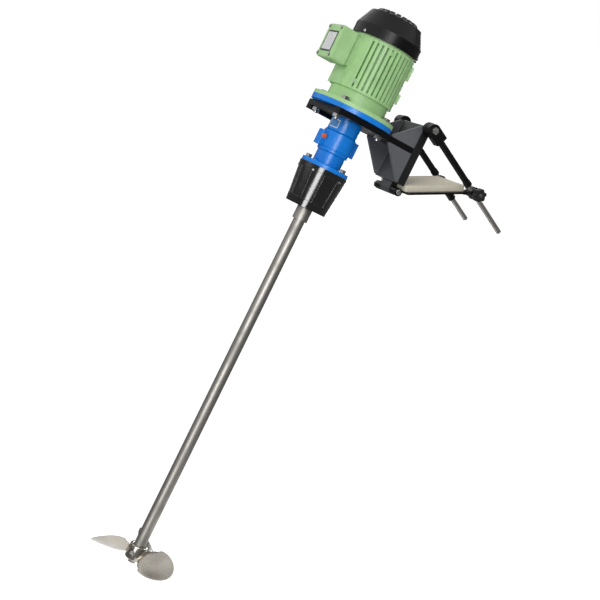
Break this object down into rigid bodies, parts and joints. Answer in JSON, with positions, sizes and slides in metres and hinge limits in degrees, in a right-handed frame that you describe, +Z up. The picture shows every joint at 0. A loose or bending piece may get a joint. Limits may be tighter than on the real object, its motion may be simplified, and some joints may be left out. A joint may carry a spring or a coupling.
{
  "type": "tank agitator",
  "caption": "Portable tilting tank agitator: flanged motor over an in-line planetary gearbox turning a long shaft with a marine propeller, on a hinged clamp bracket with struts.",
  "frame": {"origin": "middle of the underside of the mounting plate that lies on the tank's rim or bracket", "axes": "+Z up, out of the mounting plate; +X from the drive shaft towards the plate's free end; +Y completes the right-handed set, with the clamp knob on the -Y side"},
  "size_m": [0.9757, 0.227, 1.3254],
  "materials": {
    "green_paint": "satin enamel",
    "blue_paint": "satin enamel",
    "black_paint": "semi-gloss",
    "black_cover": "semi-gloss",
    "black_knob": "satin",
    "pad": "matt",
    "stainless": "turned",
    "zinc": "zinc plated",
    "bearing_steel": "ground",
    "gear_steel": "cut and ground",
    "lamination": "stacked sheet",
    "winding": "varnished copper wire",
    "cast_aluminium": "cast",
    "orange_plug": "gloss",
    "brass_gland": "nickel plated"
  },
  "bodies": {
    "base": {"mounting_plate": "black_paint", "mounting_pad": "pad", "tilt_pin": "zinc", "tilt_pin_nut": "zinc"},
    "near_strut": {"near_strut_block": "black_paint", "near_strut_tube": "black_paint", "near_strut_rod": "stainless"},
    "far_strut": {"far_strut_block": "black_paint", "far_strut_tube": "black_paint", "far_strut_rod": "stainless"},
    "clamp": {"clamp_sleeve": "black_paint", "clamp_sleeve_nut": "zinc"},
    "guide": {"guide_sleeve": "black_paint", "guide_sleeve_nut": "zinc"},
    "knob": {"star_knob": "black_knob", "knob_screw": "zinc"},
    "output": {"planet_carrier": "gear_steel", "output_bearing_inner_rings": "bearing_steel", "coupling_sleeve": "stainless", "coupling_screws": "stainless", "agitator_shaft": "stainless", "propeller": "stainless", "propeller_fasteners": "stainless"},
    "rotor": {"rotor_core": "lamination", "motor_shaft": "gear_steel", "cooling_fan": "cast_aluminium", "input_pinion": "gear_steel", "input_bearing_inner_rings": "bearing_steel"},
    "planet_1": {"planet_gear_1": "gear_steel"},
    "planet_2": {"planet_gear_2": "gear_steel"},
    "planet_3": {"planet_gear_3": "gear_steel"},
    "head": {"base_plate": "black_paint", "cable_gland": "brass_gland", "fan_cover": "black_cover", "flange_bolts": "zinc", "flange_nuts": "zinc", "front_shield": "green_paint", "gear_case": "blue_paint", "input_bearing_outer_rings": "bearing_steel", "input_flange": "blue_paint", "lantern": "black_paint", "lantern_bolts": "zinc", "lower_gussets": "black_paint", "motor_frame": "green_paint", "oil_plug": "orange_plug", "output_bearing_outer_rings": "bearing_steel", "output_housing": "blue_paint", "pivot_plate": "black_paint", "rear_shield": "green_paint", "ring_gear": "gear_steel", "stator_core": "lamination", "stator_windings": "winding", "strut_bolts": "zinc", "strut_bosses": "black_paint", "terminal_box": "green_paint", "terminal_lid": "green_paint", "terminal_lid_screws": "zinc", "upper_gussets": "black_paint"}
  },
  "joints": [
    {"name": "tilt", "type": "hinge", "parent": "base", "child": "head", "pos_m": [-0.0895, 0, 0.002], "axis": [0, 1, 0], "range_deg": [-25, 4]},
    {"name": "near_strut_swing", "type": "hinge", "parent": "head", "child": "near_strut", "pos_m": [-0.02711, -0.08, 0.15], "axis": [0, 1, 0], "range_deg": [-2.39, 14.86]},
    {"name": "far_strut_swing", "type": "hinge", "parent": "head", "child": "far_strut", "pos_m": [-0.02711, 0.08, 0.15], "axis": [0, 1, 0], "range_deg": [-2.39, 14.86]},
    {"name": "clamp_swivel", "type": "hinge", "parent": "base", "child": "clamp", "pos_m": [0.0965, -0.08, 0.002], "axis": [0, 1, 0], "range_deg": [-10.16, 1.63]},
    {"name": "guide_swivel", "type": "hinge", "parent": "base", "child": "guide", "pos_m": [0.0965, 0.08, 0.002], "axis": [0, 1, 0], "range_deg": [-10.16, 1.63]},
    {"name": "knob_turn", "type": "hinge", "parent": "clamp", "child": "knob", "pos_m": [0.0965, -0.107, 0.002], "axis": [0, 1, 0], "range_deg": [0, 270]},
    {"name": "output_spin", "type": "hinge", "parent": "head", "child": "output", "pos_m": [-0.2382, 0, 0.0901], "axis": [0.4226, 0, 0.9063], "continuous": true},
    {"name": "rotor_spin", "type": "hinge", "parent": "head", "child": "rotor", "pos_m": [-0.19594, 0, 0.18073], "axis": [0.4226, 0, 0.9063], "continuous": true},
    {"name": "planet_1_spin", "type": "hinge", "parent": "output", "child": "planet_1", "pos_m": [-0.21174, 0, 0.10424], "axis": [0.4226, 0, 0.9063], "continuous": true},
    {"name": "planet_2_spin", "type": "hinge", "parent": "output", "child": "planet_2", "pos_m": [-0.23621, 0.01559, 0.11565], "axis": [0.4226, 0, 0.9063], "continuous": true},
    {"name": "planet_3_spin", "type": "hinge", "parent": "output", "child": "planet_3", "pos_m": [-0.23621, -0.01559, 0.11565], "axis": [0.4226, 0, 0.9063], "continuous": true}
  ],
  "couplings": [
    {"joint": "near_strut_swing", "follows": "tilt", "ratio": -0.594},
    {"joint": "far_strut_swing", "follows": "tilt", "ratio": -0.594},
    {"joint": "clamp_swivel", "follows": "tilt", "ratio": 0.406},
    {"joint": "guide_swivel", "follows": "tilt", "ratio": 0.406},
    {"joint": "rotor_spin", "follows": "output_spin", "ratio": 4},
    {"joint": "planet_1_spin", "follows": "output_spin", "ratio": -3},
    {"joint": "planet_2_spin", "follows": "output_spin", "ratio": -3},
    {"joint": "planet_3_spin", "follows": "output_spin", "ratio": -3}
  ]
}
